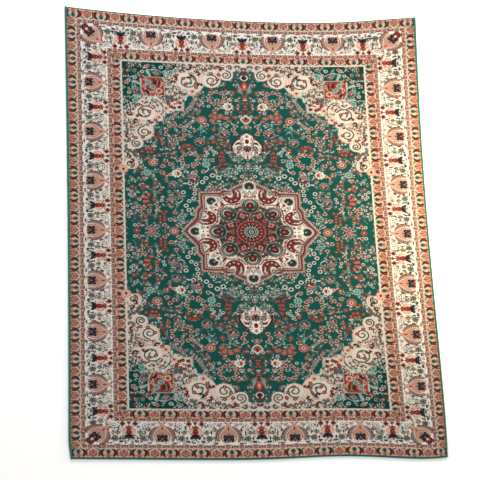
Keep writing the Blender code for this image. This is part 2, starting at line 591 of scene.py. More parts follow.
def guard_stripe(chart, inset, end_pitch, end_halves, side_pitch, side_halves):
    """Fans and palmettes by turns; the halves count how many half-pitches are filled."""
    for k in range(side_halves + 1):
        motif = guard_fan if k % 2 else guard_palmette
        motif(along_side(chart, inset, k * side_pitch / 2))
    for k in range(end_halves + 1):
        motif = guard_palmette if k % 2 else guard_fan
        motif(along_end(chart, inset, k * end_pitch / 2))


def main_border(chart):
    """Vases and lilies by turns, with a vase across the corner."""
    half = BORDER_REPEAT / 2
    for k in range(5):
        pen = along_end(chart, BORDER_MIDDLE, k * half)
        (vase if k % 2 else lily)(pen)
    for k in range(8):
        pen = along_side(chart, BORDER_MIDDLE, k * half)
        (lily if k % 2 else vase)(pen)
    for place, lilies in ((along_end, (0, 2, 4)), (along_side, (1, 3, 5, 7))):
        for k in lilies:
            for way in place(chart, BORDER_MIDDLE, k * half).halves():
                between_lily_and_vase(way)
    corner = Pen(chart, BORDER_X, BORDER_Y, -45)
    vase(corner)
    corner.bloom(0, 66, 25, 12, "maroon", 0.2)
    corner.bloom(0, 66, 15, 8, "rust", 0.2)
    corner.disc(0, 54, 8, "bone")
    near, far = BORDER_MIDDLE - 66, BORDER_MIDDLE + 66
    for box in (
        (0, HALF_X - near, HALF_Y - far, HALF_Y - near),
        (HALF_X - far, HALF_X - near, 0, HALF_Y - far),
    ):
        tendrils(chart, "border", box)


# ---------------------------------------------------------------- flowers of the field


def ring_flower(pen, rim="silver", eye="ink"):
    """A pale ring about a dark eye, in a dark outline, 14 to its rim."""
    pen.disc(0, 0, 15, "pine")
    pen.bloom(0, 0, 13, 8, rim, 0.2)
    pen.disc(0, 0, 6.2, eye)


def tulip(pen, petal="blush", heart="garnet"):
    """A dark red heart between two pale petals, 13 high each way, opening upwards."""
    pen.leaf([(0, -10), (-3, -22)], 4, "vine")
    pen.shape(mirrored([(0, 5), (7, 14), (12, 7), (10, -4), (0, -12)]), petal)
    pen.shape(mirrored([(0, 4), (6, 9), (8, 3), (6, -4), (0, -8)]), heart)


def blossom(pen, rim="brick", petal="garnet", eye="blush"):
    """A small round flower, 13 to its rim."""
    pen.bloom(0, 0, 13.5, 5, rim, 0.24)
    pen.bloom(0, 0, 9, 5, petal, 0.25)
    pen.disc(0, 0, 3.4, eye)


def peony(pen, rim="rose", petal="blush", eye="maroon", ruffle="garnet"):
    """A large open flower, 28 to its rim."""
    pen.bloom(0, 0, 29, 13, rim, 0.26)
    for k in range(13):
        angle = 2 * math.pi * (k + 0.5) / 13
        pen.disc(17 * math.cos(angle), 17 * math.sin(angle), 3.6, ruffle)
    pen.bloom(0, 0, 14, 9, petal, 0.2)
    pen.disc(0, 0, 6, eye)


def dark_flower(pen):
    """A plum flower with pale ruffles and a rosy streak, 29 to its rim."""
    pen.bloom(0, 2, 30, 11, "grey", 0.34, 20)
    pen.bloom(0, 0, 25, 9, "plum", 0.3)
    for k in range(5):
        lean = k * 0.55 - 1.1
        pen.leaf([(0, -6), (22 * math.sin(lean), 19 * math.cos(lean))], 6, "mauve")
        pen.disc(16 * math.sin(lean), 15 * math.cos(lean), 2.6, "blush")
    pen.leaf([(-9, -14), (0, 2), (11, 8)], 8, "rose")
    pen.disc(-4, -7, 5, "blush")


def lotus(pen):
    """Pale petals about a red heart and a light blue cup, 29 to their tips, with a trail of petals."""
    pen.bloom(0, 0, 30, 9, "ivory", 0.34, 10)
    pen.bloom(0, 0, 20, 9, "salmon", 0.2, 30)
    pen.oval(-9, 0, 9, 13, "brick")
    pen.oval(-8, 0, 4, 8, "red")
    pen.oval(9, 0, 9, 15, "ivory")
    pen.oval(9, 0, 6, 12, "mint")
    pen.bloom(34, -8, 12, 5, "salmon", 0.3)
    pen.disc(34, -8, 4, "brick")
    pen.leaf([(42, -10), (54, -18), (60, -32)], 9, "salmon")


def star_flower(pen, petal="mint", ring="pine", eye="salmon"):
    """A wreath of pale petals, 24 to their tips."""
    pen.bloom(0, 0, 25, 11, petal, 0.36)
    pen.disc(0, 0, 12, ring)
    pen.bloom(0, 0, 8, 5, petal, 0.3)
    pen.disc(0, 0, 4, eye)


def berry(pen):
    pen.bloom(0, 0, 10, 6, "garnet", 0.2)
    pen.bloom(0, 0, 6.5, 5, "brick", 0.2)
    pen.disc(0, 0, 3, "rose")


def grey_ball(pen):
    pen.disc(0, 0, 10, "grey")
    pen.disc(0, 0, 5, "slate")


def palmette(pen, body="garnet", lining="blush"):
    """A dark fan of pointed petals, 16 high each way."""
    for lean in (-66, -33, 0, 33, 66):
        pen.at(0, -8, -lean).leaf([(0, 0), (0, 26)], 12, body)
    pen.oval(0, -4, 5, 6, lining)


def comb(pen, points, width, dyes):
    """A serrated leaf: lobes to both sides of a curve, of two dyes by turns, with dark hearts."""
    line = smooth(points, steps=4)
    for k, ((u, v), (du, dv)) in enumerate(zip(line, np.diff(line, axis=0))):
        size = width / 2 * (0.6 + 0.4 * math.sin(math.pi * k / (len(line) - 1)))
        aside = (0.45 if k % 2 else -0.45) * size / math.hypot(du, dv)
        u, v = u + dv * aside, v - du * aside
        pen.bloom(u, v, 0.78 * size, 5, dyes[k // 2 % 2], 0.4, 40 * k)
        pen.disc(u, v, 0.24 * size, "maroon")


def garland(pen, points, width, dyes):
    """Small leaves to both sides of a curve."""
    line = smooth(points, steps=5)
    for k, ((u, v), (du, dv)) in enumerate(zip(line, np.diff(line, axis=0))):
        long = math.hypot(du, dv)
        du, dv = du / long, dv / long
        for side in (-1, 1):
            reach = width * (0.75 + 0.35 * math.sin(2.4 * k + side))
            tip = (u + (0.6 * du - side * dv) * reach, v + (0.6 * dv + side * du) * reach)
            pen.leaf([(u, v), tip], 5.2, dyes[(k + (side > 0)) % len(dyes)])


def spray(pen, height=70.0, dye="mint"):
    """A stem that branches upwards, with a bud at each tip."""
    for lean, share in ((-34, 0.72), (0, 1.0), (30, 0.85), (-14, 0.5), (52, 0.6)):
        u = height * share * math.sin(math.radians(lean))
        v = height * share * math.cos(math.radians(lean))
        pen.stroke([(0, 0), (u * 0.3, v * 0.5), (u, v)], 4.2, dye, "end")
        pen.leaf([(u * 0.6, v * 0.7), (u * 0.6 + 9, v * 0.7 + 7)], 5, dye)
        pen.disc(u, v, 3.4, "grey")


def tulip_ring(pen, reach, count):
    """Tulips in a ring, each turned half aside."""
    for k in range(count):
        tulip(pen.at(0, 0, 360 * k / count).at(0, reach, 25 if k % 2 else -35))


# Half the foot of a saw tooth, as a share of the teeth's pitch
TOOTH_HALF = 0.46


def teeth(pen, points, pitch, length, dye, start=0.5):
    """Saw teeth along a line, on its right."""
    p = np.asarray(points, float)
    ends = np.concatenate([[0], np.cumsum(np.hypot(*np.diff(p, axis=0).T))])
    for at in np.arange(pitch * start, ends[-1], pitch):
        u, v = np.interp(at, ends, p[:, 0]), np.interp(at, ends, p[:, 1])
        k = min(np.searchsorted(ends, at), len(p) - 1)
        du, dv = (p[k] - p[k - 1]) / (ends[k] - ends[k - 1])
        half = TOOTH_HALF * pitch
        foot = [(u - du * half, v - dv * half), (u + du * half, v + dv * half)]
        pen.polygon(foot + [(u + dv * length, v - du * length)], dye)


# A winding stem: its most points, the mm between them and its width, then what is drawn by chance:
# its curl from point to point and its leaves' lean, in radians, and the share of their full length
STEM_POINTS = 6
STEM_STEP = 13
STEM_WIDTH = 2.6
STEM_CURL = (0.2, 0.5)
LEAF_LEAN = (0.6, 1.2)
LEAF_LENGTH = (0.75, 1.25)
BUD_CHANCE = 0.3

# place: (seed, ground, pitch, stem, dyes of the leaves, dyes of the buds, leaf's width, leaf's reach)
TENDRILS = {
    "field": (
        3, "green", 33, "vine",
        "grey silver slate mint slate mauve blush grey rose", "brick garnet blush silver", 6.2, 12.0,
    ),
    "spandrel": (
        4, "shell", 14, "fawn",
        "slate umber umber slate plum mauve fern", "maroon umber pine", 6.0, 8.5,
    ),
    "medallion": (
        5, "ivory", 13, "fawn", "umber garnet fawn maroon slate", "garnet plum brick", 5.0, 7.0,
    ),
    "rosette": (
        6, "dusk", 15, "slate", "grey mauve slate teal moss silver", "brick silver", 5.0, 8.0,
    ),
    "pendant": (7, "snow", 12, "fawn", "umber garnet plum slate", "garnet", 5.0, 7.0),
    "corner": (
        8, "bottle", 24, "vine", "silver mint grey blush silver", "garnet silver maroon", 5.0, 11.0,
    ),
    "square": (9, "scarlet", 14, "rust", "bone fawn bone umber", "bone teal", 5.5, 8.0),
    "border": (
        10, "ivory", 11, "grey",
        "umber plum slate maroon grey fawn moss slate", "rust umber teal", 5.6, 7.0,
    ),
}


def tendrils(chart, place, box):
    """Winding stems with leaves and buds, wherever the ground of a place is still bare.

    One starts near each point of a square grid over the box, which is (x0, x1, y0, y1).
    """
    seed, ground, pitch, stem, leaves, buds, leaf, reach = TENDRILS[place]
    leaves, buds = leaves.split(), buds.split()
    draw = np.random.default_rng(seed)
    pen = Pen(chart)
    x0, x1, y0, y1 = box
    places = [(x, y) for y in np.arange(y0, y1, pitch) for x in np.arange(x0, x1, pitch)]
    for x, y in places:
        u, v = x + draw.uniform(0, pitch), y + draw.uniform(0, pitch)
        heading, curl = draw.uniform(0, 2 * math.pi), draw.choice((-1, 1)) * draw.uniform(*STEM_CURL)
        line = [(u, v)]
        while len(line) < STEM_POINTS and chart.bare(u, v, ground):
            u, v = u + STEM_STEP * math.cos(heading), v + STEM_STEP * math.sin(heading)
            heading += curl
            line.append((u, v))
        if len(line) > 2:
            pen.stroke(line, STEM_WIDTH, stem)
        for k in range(1, len(line)):
            turn = math.atan2(line[k][1] - line[k - 1][1], line[k][0] - line[k - 1][0])
            for side in (-1, 1):
                lean = turn + side * draw.uniform(*LEAF_LEAN)
                far = reach * draw.uniform(*LEAF_LENGTH)
                tip = (line[k][0] + far * math.cos(lean), line[k][1] + far * math.sin(lean))
                dye, bud = leaves[draw.integers(len(leaves))], buds[draw.integers(len(buds))]
                budding = draw.random() < BUD_CHANCE
                if chart.bare(*tip, ground):
                    pen.leaf([line[k], tip], leaf, dye)
                    if budding:
                        pen.bloom(*tip, 0.9 * leaf, 5, bud, 0.3)


# ---------------------------------------------------------------- medallion

MEDALLION_RIM = [
    (384, -16), (340, 42), (302, 90), (294, 110), (294, 140), (283, 164), (272, 174), (272, 268),
    (165, 272), (158, 284), (140, 290), (118, 285), (104, 277), (98, 294), (84, 307), (50, 326),
    (-16, 364),
]
MEDALLION_GROUND = [
    (352, -16), (300, 56), (270, 100), (264, 138), (250, 160), (248, 248), (163, 248),
    (150, 262), (118, 262), (97, 262), (76, 286), (46, 302), (-16, 340),
]
MEDALLION_BEADS = [(172, 150), (181, 120), (180, 90), (188, 62), (214, 40)]


def swapped(pen, size=1.04):
    """The pen with across and up exchanged."""
    return Pen(pen.chart, pen.x, pen.y, -90, size, -1)


def arabesque(pen):
    """A hooked leaf with a beaded spine, open towards the medallion's rim."""
    spine = [(256, 140), (226, 132), (207, 112), (205, 90), (219, 68), (248, 60), (270, 62), (292, 74)]
    inner = [(250, 128), (230, 118), (222, 102), (228, 86), (246, 80), (268, 80), (284, 86)]
    pen.stroke(spine, 42, "snow", "both")
    pen.stroke(spine, 37, "maroon", "both")
    pen.stroke(spine, 27, "garnet", "both")
    pen.stroke(spine, 13, "maroon", "both")
    for k, (u, v) in enumerate(smooth(spine, steps=3)[2:-2]):
        pen.disc(u, v, 4.6, ("silver", "navy", "coral")[k % 3])
    pen.stroke(inner, 16, "maroon", "both")
    pen.stroke(inner, 5, "brick", "both")
    pen.leaf([(240, 116), (248, 102), (268, 94)], 17, "silver")
    pen.leaf([(244, 112), (251, 102), (266, 97)], 7, "pine")
    pen.leaf([(238, 66), (256, 62), (282, 72)], 8, "silver")


def half_flower(pen):
    """A dark flower under a scalloped brow, opening upwards."""
    pen.bloom(0, 0, 38, 13, "snow", 0.12)
    pen.bloom(0, 0, 34, 13, "slate", 0.12)
    pen.bloom(0, 0, 32, 13, "silver", 0.12)
    pen.bloom(0, 0, 29, 11, "umber", 0.16)
    pen.bloom(0, -1, 23, 11, "maroon", 0.2)
    pen.disc(0, -2, 17, "pine")
    pen.bloom(0, -6, 10, 5, "teal", 0.4)
    pen.disc(0, -8, 3.5, "silver")
    pen.leaf([(-20, -32), (0, -27), (20, -32)], 14, "ivory")


def drop(pen):
    """A dark red drop in two pale cups on the dark ground; its point is at the bottom."""
    pen.disc(0, 0, 49, "tan")
    pen.disc(0, 0, 46, "pine")
    pen.leaf([(-36, -8), (-29, 24), (0, 39), (29, 24), (36, -8)], 5, "grey")
    pen.leaf([(-25, -6), (-20, 19), (0, 30), (20, 19), (25, -6)], 6, "silver")
    pen.shape(mirrored([(0, 24), (16, 11), (17, -5), (9, -20), (0, -26)]), "maroon")
    pen.shape(mirrored([(0, 16), (9, 7), (9, -5), (0, -15)]), "garnet")
    pen.leaf([(-4, -10), (4, 10)], 5, "rose")
    pen.leaf([(5, -8), (9, 4)], 4, "red")
    for half in pen.halves():
        half.leaf([(7, -26), (24, -20)], 7, "grey")
        half.disc(31, -14, 4, "brick")


def kite(pen):
    """A rosy diamond edged with maroon."""
    corners = [(0, 38), (25, 2), (0, -34), (-25, 2)]
    pen.polygon(corners, "maroon")
    pen.polygon([(0.66 * u, 0.66 * v) for u, v in corners], "rose")
    pen.bloom(0, 0, 7, 4, "maroon", 0.3)
    for half in pen.halves():
        half.leaf([(5, 34), (24, 22)], 6, "grey")


def drawn_in(points, by):
    """The points, moved towards the middle by so many mm each way."""
    return [(u - by, v - by) for u, v in points]


def medallion_band(pen):
    """The toothed rosy band about the medallion, and the pale ground within it."""
    within = [(-16, -16)]
    teeth(pen, MEDALLION_RIM, 13, 12, "blush")
    pen.polygon(MEDALLION_RIM + within, "dusty")
    teeth(pen, drawn_in(MEDALLION_RIM, 9), 13, 9, "maroon", 0.0)
    pen.stroke(drawn_in(MEDALLION_RIM, 11), 4, "maroon")
    teeth(pen, drawn_in(MEDALLION_RIM, 18), 13, 7, "blush")
    for by, dye in ((0, "maroon"), (3, "silver"), (10, "grey"), (13, "ivory")):
        pen.polygon(drawn_in(MEDALLION_GROUND, by) + within, dye)


def medallion_ground(pen):
    """Arabesques, half flowers and strings of beads on the pale ground."""
    for side in (pen, swapped(pen)):
        arabesque(side)
        half_flower(side.at(306, 0, -90, 0.95))
        for k, (u, v) in enumerate(smooth(MEDALLION_BEADS, steps=4)):
            side.disc(u, v, 4.2, "brick" if k % 4 == 1 else "umber")
        for u, v in ((212, 170), (263, 28), (170, 148)):
            side.ring(u, v, 9, 4, "umber")
            side.disc(u, v, 4, "brick")
        for u, v in ((184, 70), (237, 27), (190, 150)):
            side.at(u, v).bloom(0, 0, 9, 5, "garnet", 0.3)
        side.at(240, 158).bloom(0, 0, 9, 5, "brick", 0.3)
    half_flower(pen.at(213, 212, -45, 0.92))
    for u, v in ((151, 191), (187, 186)):
        pen.bloom(u, v, 10, 4, "garnet", 0.3)
    tendrils(pen.chart, "medallion", (0, 340, 0, 330))


def rosette_ground(pen):
    """The dark rosette of eight lobes, with a drop on each and kites between them."""
    pen.disc(0, 0, 186, "tan")
    lobes = [pen.at(0, 0, turn).at(0, far) for turn, far in ((0, 180), (-45, 172), (-90, 182))]
    for lobe in lobes:
        lobe.disc(0, 0, 51, "tan")
    pen.disc(0, 0, 183, "dusk")
    for lobe in lobes:
        drop(lobe)
    for turn in (0, -45, -90):
        stalk = pen.at(0, 0, turn)
        stalk.leaf([(0, 128), (0, 106)], 10, "grey")
        stalk.bloom(0, 104, 14, 5, "brick", 0.3)
        stalk.disc(0, 104, 5, "red")
    for turn in (-22.5, -67.5):
        kite(pen.at(0, 0, turn).at(0, 119))


def rosette_heart(pen):
    """The red wheel of sixteen petals about a dark eye with silver rays."""
    for radius, petals, dye, depth, turn in (
        (92, 16, "maroon", 0.14, 90.0),
        (84, 16, "mauve", 0.12, 90.0),
        (80, 16, "garnet", 0.2, 90.0),
        (76, 8, "maroon", 0.24, 22.5),
    ):
        pen.bloom(0, 0, radius, petals, dye, depth, turn)
    spokes = [pen.at(0, 0, -11.25 * k) for k in range(9)]
    for k, petal in enumerate(spokes):
        petal.oval(0, 72, 7, 11, "navy" if k % 2 else "garnet")
        petal.oval(0, 76, 3, 5, "rose")
        petal.oval(0, 56, 4, 7, "rose" if k % 2 else "red")
    pen.bloom(0, 0, 51, 16, "ink", 0.14)
    for k, ray in enumerate(spokes):
        ray.leaf([(0, 30), (0, 44)], 5, "silver" if k % 2 else "slate")
        ray.disc(0, 24, 2.6, "slate" if k % 2 else "silver")
    pen.ring(0, 0, 31, 2.5, "grey")
    pen.bloom(0, 0, 15, 8, "silver", 0.3, 22.5)
    pen.disc(0, 0, 9, "maroon")
    pen.disc(0, 0, 4, "rose")


def medallion(pen):
    """The medallion's quarter, from its rim to its heart."""
    medallion_band(pen)
    medallion_ground(pen)
    rosette_ground(pen)
    rosette_heart(pen)
    tendrils(pen.chart, "rosette", (0, 230, 0, 230))


def pendant(pen):
    """The pale lotus that hangs from each end of the medallion."""
    body = [
        (0, 694), (14, 684), (34, 668), (62, 632), (78, 604), (84, 574), (64, 548), (24, 528), (0, 500),
    ]
    for half in pen.halves():
        for u, v in smooth(body[2:-2], steps=3):
            half.disc(u + 4, v, 7, "maroon")
    pen.shape(mirrored([(u * 1.07, v) for u, v in body]), "maroon")
    pen.shape(mirrored(body), "snow")
    for part in pen.halves():
        part.leaf([(70, 560), (88, 590), (84, 622)], 13, "maroon")
        part.leaf([(26, 616), (48, 624), (68, 604)], 13, "maroon")
        part.leaf([(24, 634), (40, 650), (58, 640)], 7, "umber")
        part.disc(45, 588, 29, "umber")
        part.disc(45, 588, 26, "snow")
        part.bloom(44, 589, 17, 9, "umber", 0.3)
        part.bloom(44, 589, 9, 5, "grey", 0.3)
        part.leaf([(44, 560), (56, 558)], 8, "garnet")
        part.leaf([(34, 664), (42, 655)], 9, "red")
        part.leaf([(96, 572), (94, 600)], 7, "mauve")
    pen.bloom(0, 584, 26, 9, "umber", 0.3)
    pen.bloom(0, 584, 17, 8, "mauve", 0.3)
    pen.oval(0, 580, 6, 10, "ink")
    pen.oval(0, 636, 12, 17, "garnet")
    pen.oval(0, 632, 5, 9, "umber")
    pen.oval(0, 672, 12, 12, "salmon")
    pen.oval(0, 672, 5, 6, "red")
    pen.leaf([(0, 540), (0, 524), (0, 508)], 12, "garnet")
    tendrils(pen.chart, "pendant", (0, 90, 490, 700))


def axis_flowers(pen):
    """What stands on the long axis between the pendant and the end of the field."""
    for v in (465, 742):
        pen.oval(0, v, 16, 18, "grey")
        pen.oval(0, v, 12, 14, "brick")
        pen.oval(0, v - 2, 5, 7, "blush")
    pen.shape(mirrored([(0, 828), (16, 813), (33, 797), (18, 770), (0, 761)]), "silver")
    pen.shape(mirrored([(0, 814), (12, 802), (24, 794), (13, 776), (0, 770)]), "brick")
    pen.shape(mirrored([(0, 808), (7, 798), (0, 788)]), "maroon")
    comb(pen, [(10, 832), (24, 846), (50, 856)], 17, ("mauve", "rust"))
    pen.leaf([(40, 862), (44, 882)], 9, "blush")
    for u, v in ((7, 868), (3, 888), (10, 908), (32, 925), (27, 951), (5, 945), (7, 964)):
        berry(pen.at(u, v, size=0.9))
    pen.shape(mirrored([(0, 1072), (20, 1052), (24, 1020), (0, 985)]), "garnet")
    pen.shape(mirrored([(0, 1060), (12, 1044), (13, 1020), (0, 1000)]), "coral")
    pen.oval(0, 1030, 5, 12, "blush")
    for half in pen.halves():
        for foot, tip in ((986, 1034), (998, 1052), (974, 1012)):
            half.leaf([(10, foot), (30, 0.4 * foot + 0.6 * tip), (32, tip)], 9, "grey")
        half.leaf([(14, 980), (38, 988), (44, 1014)], 6, "mauve")
    pen.shape(mirrored([(0, 1120), (24, 1092), (0, 1070)]), "silver")
    pen.shape(mirrored([(0, 1110), (16, 1092), (0, 1076)]), "umber")
    pen.oval(0, 1118, 13, 11, "garnet")


def medallion_chains(pen):
    """Pale rings strung about the medallion's corners."""
    for side in (pen, swapped(pen, 1.12)):
        for u, v, size in (
            (298, 290, 1.0), (301, 260, 1.0), (307, 228, 1.05), (332, 210, 1.0),
            (350, 177, 1.1), (335, 148, 1.1), (363, 270, 1.1), (346, 32, 0.8), (366, 60, 0.8),
        ):
            ring_flower(side.at(u, v, size=size))
        side.leaf([(298, 302), (296, 326)], 9, "silver")
        garland(side, [(346, 122), (366, 98), (384, 62), (392, 24)], 15, ("silver", "vine", "grey"))
        garland(side, [(366, 134), (386, 108), (402, 84)], 12, ("grey", "teal", "silver"))
        side.stroke([(364, 226), (376, 204), (394, 196), (404, 208)], 6, "silver", "both")
        side.stroke([(396, 168), (388, 184), (408, 156), (416, 132)], 4, "grey", "both")


# flower: the (x, y, turn, size) of each; where they are left out, turn is 0 and size is 1
FIELD_FLOWERS = {
    peony: ((247, 785), (523, 478), (420, 0, 0, 0.95)),
    dark_flower: (
        (415, 322, 0, 0.95), (430, 208), (262, 628, 0, 1.05), (125, 690, 10, 1.15),
        (305, 368, -20, 1.2), (416, 605, 30, 0.8), (541, 0, 0, 1.35),
    ),
    lotus: ((98, 886), (396, 402)),
    star_flower: ((232, 470), (559, 405)),
    berry: (
        (460, 134), (484, 131), (472, 115), (470, 94), (470, 75),
        (493, 100), (493, 80), (493, 61), (515, 570, 0, 1.3), (535, 574, 0, 1.3),
        (560, 572, 0, 1.3), (551, 549, 0, 1.3), (530, 550, 0, 1.2), (583, 555, 0, 1.2),
        (566, 497, 0, 1.2),
        (118, 936), (192, 826), (278, 706), (215, 622), (593, 66),
    ),
    tulip: (
        (505, 165, 40), (552, 135), (608, 168, 180), (583, 158, 120), (602, 136, 200),
        (430, 467, 20), (470, 452, -60), (248, 420, 180), (292, 414, -30), (470, 42, 200),
        (610, 40, 160), (60, 744, 140), (74, 716), (62, 690, 60), (440, 80, 110),
        (455, 490, 20), (572, 362), (222, 752, 160), (412, 128, 60), (198, 500, 90),
        (190, 305), (219, 297, -20),
    ),
    blossom: (
        (515, 332), (522, 215), (573, 97), (155, 645), (110, 626),
        (124, 604), (186, 630), (160, 590), (182, 717), (175, 852),
        (420, 541), (465, 402), (617, 540), (105, 997), (66, 985),
        (60, 808), (643, 304), (489, 529), (360, 645), (234, 579),
        (360, 560), (622, 0, 0, 1.4),
    ),
    ring_flower: (
        (477, 234, 0, 0.8), (483, 211, 0, 0.8), (645, 238, 0, 0.8), (657, 250, 0, 0.8),
        (632, 38, 0, 0.9),
        (672, 172, 0, 0.8), (233, 531, 0, 0.9), (92, 930, 0, 0.8), (48, 930, 0, 0.8),
        (105, 838, 0, 0.8),
        (205, 885, 0, 0.8), (647, 272, 0, 0.8), (667, 285, 0, 0.8), (30, 815, 0, 0.8),
        (173, 552, 0, 0.8),
        (190, 565, 0, 0.8), (204, 580, 0, 0.8), (640, 158, 0, 0.8), (604, 216, 0, 0.8),
    ),
    grey_ball: ((312, 668), (190, 665), (663, 94), (440, 273), (625, 190)),
}

# width, its two dyes, and the points of its curve
FIELD_LEAVES = (
    (30, ("rose", "brick"), ((90, 775), (106, 800), (140, 814), (172, 806), (188, 784), (176, 756))),
    (30, ("garnet", "dusty"), ((132, 566), (146, 540), (144, 512), (136, 488), (108, 464))),
    (30, ("mauve", "plum"), ((142, 440), (158, 462), (184, 470))),
    (18, ("mauve", "rose"), ((110, 428), (130, 438))),
    (18, ("mauve", "rose"), ((165, 425), (192, 438))),
    (30, ("garnet", "rose"), ((538, 256), (564, 244), (574, 218), (562, 192), (536, 168))),
    (20, ("garnet", "coral"), ((550, 310), (552, 286))),
    (22, ("brick", "dusty"), ((566, 318), (578, 302), (596, 286))),
    (24, ("brick", "garnet"), ((288, 574), (310, 590), (328, 596), (336, 574))),
    (18, ("coral", "garnet"), ((340, 608), (352, 594), (360, 584))),
    (18, ("brick", "rose"), ((470, 662), (474, 630), (462, 616), (476, 600))),
    (18, ("brick", "garnet"), ((488, 682), (492, 660), (494, 638))),
    (18, ("dusty", "rose"), ((252, 862), (262, 842), (272, 818))),
)

FIELD_GARLANDS = (
    (16, ((264, 948), (284, 920), (300, 890), (314, 862), (340, 836), (356, 806))),
    (15, ((386, 830), (410, 804), (436, 784), (466, 764))),
    (14, ((282, 780), (308, 766), (328, 744), (346, 728))),
)


def field(pen):
    """The field's flowers, from the medallion out to the spandrel."""
    medallion_chains(pen)
    for flower, places in FIELD_FLOWERS.items():
        for place in places:
            flower(pen.at(*place))
    for width, dyes, points in FIELD_LEAVES:
        comb(pen, points, width, dyes)
    for width, points in FIELD_GARLANDS:
        garland(pen, points, width, ("grey", "mauve", "blush"))
    pen.stroke([(116, 760), (134, 757), (148, 740)], 7, "mint", "both")
    pen.stroke([(240, 898), (256, 892), (258, 874)], 8, "salmon", "both")
    for x, y, reach, count in ((318, 500, 47, 9), (396, 694, 52, 10), (160, 945, 44, 9)):
        tulip_ring(pen.at(x, y), reach, count)
    spray(pen.at(250, 752, 185), 78)
    spray(pen.at(36, 500, 20), 46, "grey")
    spray(pen.at(640, 110, 150), 60, "slate")
    tendrils(pen.chart, "field", (0, FIELD_X, 0, 1150))


# ---------------------------------------------------------------- spandrel

SPANDREL_RIM = [
    (-16, 1148), (30, 1148), (60, 1142), (70, 1112), (98, 1080), (134, 1094), (138, 1052), (164, 1028),
    (192, 1020), (226, 1036), (248, 1002), (270, 986), (284, 964), (324, 958), (332, 928), (346, 912),
    (350, 856), (398, 850), (420, 834), (452, 828), (456, 800), (478, 774), (500, 778), (512, 746),
    (524, 738), (518, 700), (530, 660), (562, 638), (584, 644), (578, 614), (590, 586), (622, 576),
    (642, 556), (640, 524), (614, 490), (610, 456), (630, 434), (656, 438), (672, 452), (700, 462),
]
GREEN_CORNER = [
    (362, 1210), (384, 1152), (402, 1128), (404, 1104), (446, 1080), (584, 1086), (586, 940),
    (598, 904), (640, 898), (672, 876), (710, 852), (710, 1210),
]
RED_SQUARE = [
    (450, 954), (450, 1004), (442, 1040), (456, 1062), (462, 1078), (574, 1080), (576, 990),
    (562, 958), (552, 966), (538, 944), (528, 956), (516, 946), (500, 958),
]

# middle, radius, turn and hand of each scroll
SCROLLS = (
    (100, 1111, 31, 0, 1), (184, 1068, 43, -30, 1), (318, 1059, 56, 10, 1), (559, 830, 51, 60, -1),
    (568, 692, 40, 0, -1), (612, 609, 28, -30, -1), (650, 464, 26, 170, -1),
)

# flower, its dye, and the places of each
SPANDREL_FLOWERS = (
    (blossom, "rust", (
        (150, 1078), (182, 1040), (140, 1110), (184, 1119), (342, 1077), (327, 1038), (269, 1048),
        (271, 1019),
        (537, 838), (573, 851), (539, 688), (640, 726), (576, 655), (616, 649), (119, 1158),
        (160, 1160),
        (215, 1142), (378, 1100), (596, 886), (503, 778), (653, 634), (414, 945),
    )),
    (palmette, "maroon", (
        (0, 1154), (137, 1158), (308, 1150), (648, 818), (663, 666), (400, 1050), (386, 1078),
        (640, 486),
    )),
    (palmette, "umber", (
        (250, 1036), (258, 1117), (304, 1094), (531, 766), (616, 768), (594, 806), (656, 520),
    )),
    (palmette, "slate", (
        (35, 1170), (77, 1168), (187, 1160), (285, 1167), (338, 1166), (346, 1128), (671, 738),
        (667, 698),
        (668, 628), (668, 584), (652, 548), (620, 880), (666, 862), (560, 906), (432, 940), (668, 556),
    )),
)

# width, dye and curve of each loose leaf or stem
SPANDREL_LEAVES = (
    (9, "fern", ((300, 962), (350, 966), (392, 980), (420, 1012))),
    (9, "fern", ((500, 922), (478, 904), (462, 880), (458, 852), (470, 832))),
    (7, "fern", ((500, 922), (530, 920))),
    (9, "mint", ((334, 1004), (324, 980), (324, 950))),
    (8, "plum", ((222, 1172), (248, 1178), (266, 1160), (268, 1134))),
    (9, "teal", ((231, 1118), (233, 1144), (250, 1152))),
    (8, "peach", ((228, 1104), (246, 1098), (254, 1060))),
    (15, "mauve", ((290, 1094), (280, 1080), (272, 1064))),
    (10, "mint", ((400, 1024), (430, 1022))),
    (14, "mint", ((518, 950), (516, 920))),
    (10, "teal", ((534, 892), (540, 876), (556, 870))),
    (12, "teal", ((566, 812), (552, 804), (540, 812))),
    (12, "teal", ((300, 1062), (296, 1048), (308, 1036))),
    (8, "salmon", ((554, 768), (590, 764), (604, 744))),
    (12, "teal", ((640, 768), (646, 752), (628, 738))),
    (7, "fawn", ((630, 690), (632, 660), (618, 650))),
    (10, "mauve", ((630, 500), (648, 496))),
    (12, "teal", ((418, 870), (436, 874), (440, 858))),
    (14, "slate", ((322, 1158), (344, 1146), (366, 1116))),
    (13, "slate", ((352, 1164), (372, 1158), (384, 1170))),
    (12, "slate", ((676, 700), (664, 712), (668, 730))),
    (13, "plum", ((222, 1160), (212, 1148), (216, 1132))),
    (12, "pine", ((182, 1172), (192, 1164), (196, 1150))),
    (12, "umber", ((388, 1102), (380, 1084), (384, 1064))),
    (12, "slate", ((626, 850), (648, 846), (668, 826))),
    (10, "umber", ((604, 880), (586, 884), (566, 876))),
    (10, "plum", ((636, 560), (652, 566), (664, 556))),
)


def scroll(pen, radius):
    """A spiral tendril on a pale disc, winding in from the top."""
    pen.disc(0, 0, radius + 9, "tan")
    pen.disc(0, 0, radius + 7, "pearl")
    steps = 26
    line = []
    for k in range(steps + 1):
        angle = math.radians(90 + 560 * k / steps)
        reach = radius * (1 - 0.8 * (k / steps) ** 0.9)
        line.append((reach * math.cos(angle), reach * math.sin(angle)))
    pen.stroke(line, 8.5, "pine")
    pen.stroke(line[3:], 3.5, "teal")


